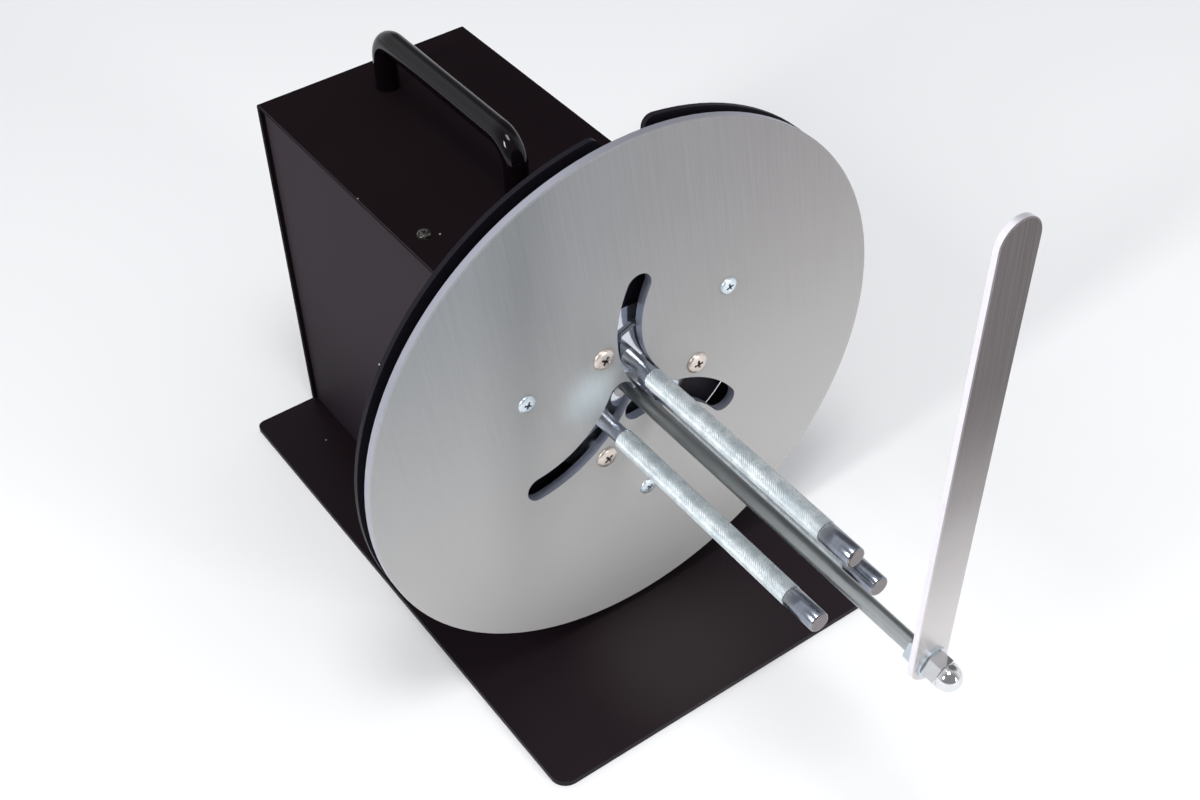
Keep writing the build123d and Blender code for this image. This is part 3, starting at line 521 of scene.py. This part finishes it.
# painted shade in the cross recess, from ambient occlusion
shade = warm_nickel.mix(warm_nickel.hollow(0.0014), warm_recess_shade, shade)
warm_nickel.paint(Base_Color=shade, Metallic=0.9, Roughness=0.24 + mottle * 0.2,
                  Normal=warm_nickel.bump(mottle, 0.00003, 0.5))
hub_screws = pan_heads("hub_screws_made", warm_nickel, on_disc(hub_circle, hub_angle),
                       tilt=facing_crank, turns=[0.12, 0.95, 0.55], head=0.012, height=0.0023,
                       shank=0.006, length=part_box("hub_screws")[1][1] - face_y)
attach(hub_screws, "spindle_and_crank")
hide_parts("hub_screws")

# ---------------------------------------------------------------- core rods
# Turned steel rods that grip the inside of a cardboard core: a neck through
# the slot, a long diamond knurl and a plain polished tip. They are zinc
# plated; the knurl is pale and matt, and the tip and neck are darker and glossy,
# with a painted reflection that makes the neck paler than the tip and a
# painted highlight on the edges.
knurl_front, knurl_back = -0.22875, -0.10425
knurl_radius, knurl_pitch, knurl_depth = 0.00535, 0.0014, 0.0003
tip_radius, tip_edge_radius, tip_face_radius = 0.0051, 0.0047, 0.0040
tip_edge_depth, tip_shoulder_depth = 0.0003, 0.0009
undercut_radius, undercut_start, undercut_full = 0.00485, 0.0006, 0.0004
neck_radius, neck_root_radius, neck_root_length = 0.0043, 0.0045, 0.0006
sunk = 0.0002       # how far the tip and the neck reach into the knurl
bare_dark, bare_pale, neck_sheen = (0.19, 0.20, 0.25), (0.31, 0.34, 0.40), (0.42, 0.46, 0.53)
end_face, rod_edge_highlight = (0.21, 0.19, 0.19), (0.85, 0.87, 0.90)
frost_dark, frost_pale, frost_spot = (0.50, 0.56, 0.59), (0.70, 0.75, 0.77), (0.30, 0.33, 0.35)

rod_zinc = Finish("rod_zinc")
along = rod_zinc.split(rod_zinc.on_piece)[1]
frost = rod_zinc.noise(160.0, 3.0).rise(0.3, 0.7)
fine = rod_zinc.noise(1500.0)
ring = rod_zinc.noise(1.0, 3.0, 0.5, rod_zinc.stretched((60.0, 900.0, 60.0)))
on_neck = along.rise(knurl_back - 0.0001, knurl_back + 0.0001)
plain = (1.0 - along.rise(knurl_front - 0.0002, knurl_front + 0.0001)) | on_neck
bare = rod_zinc.mix(ring, bare_dark, bare_pale)
# painted reflection: the neck is paler and bluer than the tip
bare = rod_zinc.mix(on_neck, bare, neck_sheen)
bare = rod_zinc.mix(1.0 - rod_zinc.narrow(), bare, end_face)
# painted highlight on the rods' edges and chamfer rims
bare = rod_zinc.mix(rod_zinc.edges(0.0006) * 0.9, bare, rod_edge_highlight)
frosted = rod_zinc.mix(frost, frost_dark, frost_pale)
frosted = rod_zinc.mix(rod_zinc.noise(1100.0, 3.0).rise(0.45, 0.7) * 0.4, frosted, frost_spot)
shade = rod_zinc.mix(plain, frosted, bare)
rod_zinc.paint(Base_Color=shade, Metallic=0.7 + plain * 0.25,
               Roughness=0.46 - plain * 0.27 + on_neck * 0.12 + fine * 0.08,
               Normal=rod_zinc.bump(fine * (1.0 - plain), 0.00002, 0.3))


def turned(centre, *profile):
    """Closed turned body along Y, from (radius, y) pairs that start and end on the axis."""
    sides = 48
    work = bmesh.new()
    rings = []
    for radius, y in profile:
        angles = [2 * pi * n / sides for n in range(sides)] if radius else [0.0]
        rings.append([work.verts.new((centre[0] + radius * cos(a), y, centre[1] + radius * sin(a)))
                      for a in angles])
    for front, back in zip(rings, rings[1:]):
        for n in range(sides):
            corners = (front[n % len(front)], front[(n + 1) % sides % len(front)],
                       back[(n + 1) % sides % len(back)], back[n % len(back)])
            work.faces.new(list(dict.fromkeys(corners)))
    bmesh.ops.recalc_face_normals(work, faces=work.faces)
    for face in work.faces:
        face.smooth = face.normal.y ** 2 < 0.3
    return work


def knurl(letter, centre):
    """The knurled part: rows of points, high and low by turns, in a diamond lattice."""
    shape = Shape("knurl_" + letter, rod_zinc, Radius=knurl_radius, Depth=knurl_depth,
                  Front=knurl_front, Back=knurl_back,
                  Columns=2 * round(2 * pi * knurl_radius / knurl_pitch),
                  Rows=2 * round((knurl_back - knurl_front) / knurl_pitch),
                  Centre=(centre[0], 0.0, centre[1]))
    rows, front = shape.given("Rows") + 4.0, shape.given("Front")

    def lattice(across, up):
        # Two rows at each end close the body: one on the axis, one at the root.
        row = (up * rows).math("ROUND")
        column = (across * shape.given("Columns")).math("ROUND")
        from_end = row & (rows - row)
        low = (row + column).math("MODULO", 2.0).rise(0.4, 0.6) | (1.0 - from_end.rise(1.2, 1.8))
        out = (shape.given("Radius") - low * shape.given("Depth")) * from_end.rise(0.2, 0.8)
        share = ((row - 2.0) / shape.given("Rows") | 0.0) & 1.0
        angle = across * (-2 * pi)
        return shape.point(angle.math("COSINE") * out, front + (shape.given("Back") - front) * share,
                           angle.math("SINE") * out)

    body = shape.skin(shape.given("Columns") + 1.0, rows + 1.0, lattice)
    placed = shape.add("GeometryNodeTransform", {}, {"Geometry": body, "Translation": shape.given("Centre")})
    return shape.make("core_rod_%s_made" % letter, placed)


for letter in "abc":
    low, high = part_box("core_rod_" + letter)
    centre = ((low[0] + high[0]) / 2, (low[2] + high[2]) / 2)
    front, back = low[1], high[1]
    rod = knurl(letter, centre)
    tip = turned(centre, (0.0, front), (tip_face_radius, front),
                 (tip_edge_radius, front + tip_edge_depth), (tip_radius, front + tip_shoulder_depth),
                 (tip_radius, knurl_front - undercut_start), (undercut_radius, knurl_front - undercut_full),
                 (undercut_radius, knurl_front + sunk), (0.0, knurl_front + sunk))
    neck = turned(centre, (0.0, knurl_back - sunk), (neck_root_radius, knurl_back - sunk),
                  (neck_radius, knurl_back + neck_root_length), (neck_radius, back), (0.0, back))
    for work in (tip, neck):
        work.from_mesh(rod.data)
        work.to_mesh(rod.data)
        work.free()
    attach(rod, "arm_" + letter)
    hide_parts("core_rod_" + letter)

# ---------------------------------------------------------------- crank rod
# An 8 mm zinc plated rod with a long reach, screwed into the spindle's end,
# with a lock nut and a washer that clamp the crank arm.
nut_back = -0.2880
rod_grey, rod_pale, rod_far = (0.235, 0.245, 0.252), (0.35, 0.365, 0.36), (0.52, 0.55, 0.57)
nut_zinc, rod_underside_light = (0.62, 0.69, 0.75), (0.62, 0.60, 0.60)

crank_zinc = Finish("crank_zinc")
x, y, z = crank_zinc.split(crank_zinc.on_piece)
drawn = crank_zinc.noise(1.0, 2.0, 0.6, crank_zinc.stretched((900.0, 25.0, 900.0)))
# painted light: the rod's underside is painted pale, lit from the white table
under = 1.0 - (z - x * 0.6).rise(axis_height - 0.003, axis_height + 0.001)
shade = crank_zinc.mix(crank_zinc.noise(60.0, 3.0), rod_grey, rod_pale)
shade = crank_zinc.mix((1.0 - y.rise(-0.29, -0.19)) * 0.45, shade, rod_far)
shade = crank_zinc.mix(1.0 - y.rise(nut_back - 0.0002, nut_back + 0.0002), shade, nut_zinc)
shade = crank_zinc.mix(under * 0.6, shade, rod_underside_light)
crank_zinc.paint(Base_Color=shade, Metallic=1.0, Roughness=0.24 + drawn * 0.18,
                 Normal=crank_zinc.bump(drawn, 0.00002, 0.3))
dress(crank_zinc, "crank_rod", "crank_lock_nut", "crank_washer")

# ---------------------------------------------------------------- crank arm
# A flat steel bar, 20.6 by 3 mm with round ends, brushed along its length.
# It is darker and browner towards its far end and paler near the axis, and
# its edges and rims carry a painted highlight.
arm_brown, arm_pale = (0.092, 0.077, 0.077), (0.67, 0.64, 0.635)
arm_streak, arm_edge_highlight = (0.72, 0.70, 0.70), (0.88, 0.85, 0.91)

bar_steel = Finish("bar_steel")
height = bar_steel.split(bar_steel.on_piece)[2]
streak = bar_steel.noise(1.0, 3.0, 0.6, bar_steel.stretched((2600.0, 2600.0, 22.0)))
# darker towards the far end and paler near the axis
paler_near_axis = 1.0 - (height + bar_steel.noise(18.0, 3.0) * 0.03).rise(0.165, 0.335)
shade = bar_steel.mix(paler_near_axis, arm_brown, arm_pale)
shade = bar_steel.mix(streak.rise(0.3, 0.7) * 0.07, shade, arm_streak)
# painted highlight on the arm's edges and rims
shade = bar_steel.mix(bar_steel.edges(0.0004) * 0.5 | bar_steel.narrow(), shade, arm_edge_highlight)
bar_steel.paint(Base_Color=shade, Metallic=0.7, Roughness=0.34 + streak * 0.14,
                Normal=bar_steel.bump(streak, 0.00002, 0.3))
dress(bar_steel, "crank_arm")

# ------------------------------------------------------------------ cap nut
# A domed M8 cap nut closes the rod's end. It is chrome bright, with a slight
# haze from handling.
cap_chrome = Finish("cap_chrome")
haze = cap_chrome.noise(300.0)
cap_chrome.paint(Base_Color=cap_chrome.mix(haze, (0.68, 0.69, 0.71), (0.82, 0.83, 0.84)), Metallic=1.0,
                 Roughness=0.06 + haze * 0.08)
dress(cap_chrome, "cap_nut")

# ------------------------------------------------- spindle and its bearings
# Ground and turned steel, left bare: the carrier, the spindle and two ball
# bearings in the housing, and before it the dished ring, its collar and the
# arms' drive pins.
steel = Finish("steel")
tool_mark = steel.noise(1.0, 3.0, 0.5, steel.stretched((50.0, 1600.0, 50.0)))
steel.paint(Base_Color=steel.mix(tool_mark, (0.36, 0.36, 0.37), (0.52, 0.52, 0.53)), Metallic=1.0,
            Roughness=0.28 + tool_mark * 0.15)
dress(steel, "bearing_housing", "bearing_outer_rings", "bearing_inner_rings", "bearing_balls",
      "bearing_spacer", "spindle", "spring_ring", "retaining_collar", "drive_pin_a", "drive_pin_b",
      "drive_pin_c")


# ---------------------------------------------------------- table and light
# A white table top in a white room that is dimmer on the photographer's side,
# with soft windows to the left, above and in front.
class Room(Board):
    """The world round the table."""

    def __init__(self):
        bpy.context.scene.world = bpy.data.worlds.new("room")
        bpy.context.scene.world.use_nodes = True
        self.tree = bpy.context.scene.world.node_tree
        self.tree.nodes.clear()

    def toward(self, way):
        """1 straight that way, 0 square to it and less than 0 behind."""
        return self.add("ShaderNodeVectorMath", {"operation": "DOT_PRODUCT"},
                        {0: self.add("ShaderNodeTexCoord", out="Generated"), 1: way}, out="Value")

    def glow(self, shade, strength):
        return self.add("ShaderNodeBackground", {}, {"Color": (*shade, 1.0), "Strength": strength})

    def choose(self, share, first, second):
        """The first light where share is 0, and the second where it is 1."""
        return self.add("ShaderNodeMixShader", {}, {0: share, 1: first, 2: second})


table_reach, table_drop = 6, 0.0003
table_grey, table_white = (0.925, 0.925, 0.93), (0.94, 0.94, 0.94)

table_top = Finish("table_top")
table_top.paint(Base_Color=table_top.mix(table_top.noise(3.0), table_grey, table_white),
                Roughness=0.8, Specular_IOR_Level=0.1)
outline = bpy.data.meshes.new("table_top")
outline.from_pydata([(x * table_reach, y * table_reach, -table_drop)
                     for x, y in ((-1, -1), (1, -1), (1, 1), (-1, 1))], [], [(0, 1, 2, 3)])
outline.materials.append(table_top.material)
table = bpy.data.objects.new("table_top", outline)
bpy.context.scene.collection.objects.link(table)

room = Room()
rays = room.add("ShaderNodeLightPath").out.node.outputs
seen = Sock(room, rays["Is Camera Ray"])
mirrored = Sock(room, rays["Is Glossy Ray"]) | Sock(room, rays["Is Transmission Ray"])
camera_side = room.toward((-0.47, -0.76, 0.45)).rise(-0.1, 0.75)
dark_corner = room.toward((0.70, 0.42, 0.58)).rise(0.72, 0.93)
white_room = room.glow((1.0, 1.0, 1.0), 1.0)
soft_room = room.glow((0.95, 0.965, 1.0), 0.62)
mirrored_room = room.glow((0.97, 0.98, 1.0), (1.0 - camera_side * 0.72) * (1.0 - dark_corner * 0.82))
light = room.choose(seen, room.choose(mirrored, soft_room, mirrored_room), white_room)
room.tree.links.new(light.out, room.tree.nodes.new("ShaderNodeOutputWorld").inputs["Surface"])


def window(name, place, aim, size, power):
    lamp = bpy.data.lights.new(name, "AREA")
    lamp.shape = "RECTANGLE"
    lamp.size, lamp.size_y = size
    lamp.energy = power
    holder = bpy.data.objects.new(name, lamp)
    holder.matrix_world = (Matrix.Translation(place)
                           @ (Vector(aim) - Vector(place)).to_track_quat("-Z", "Y").to_matrix().to_4x4())
    bpy.context.scene.collection.objects.link(holder)


window("window_left", (-1.5, -0.3, 1.1), (0.0, -0.05, 0.15), (0.2, 0.55), 12.5)
window("window_top", (-0.2, -0.5, 1.9), (0.0, 0.0, 0.15), (0.5, 0.5), 10.0)
window("window_front", (0.5, -1.8, 0.6), (0.0, -0.1, 0.15), (0.2, 0.55), 9.5)
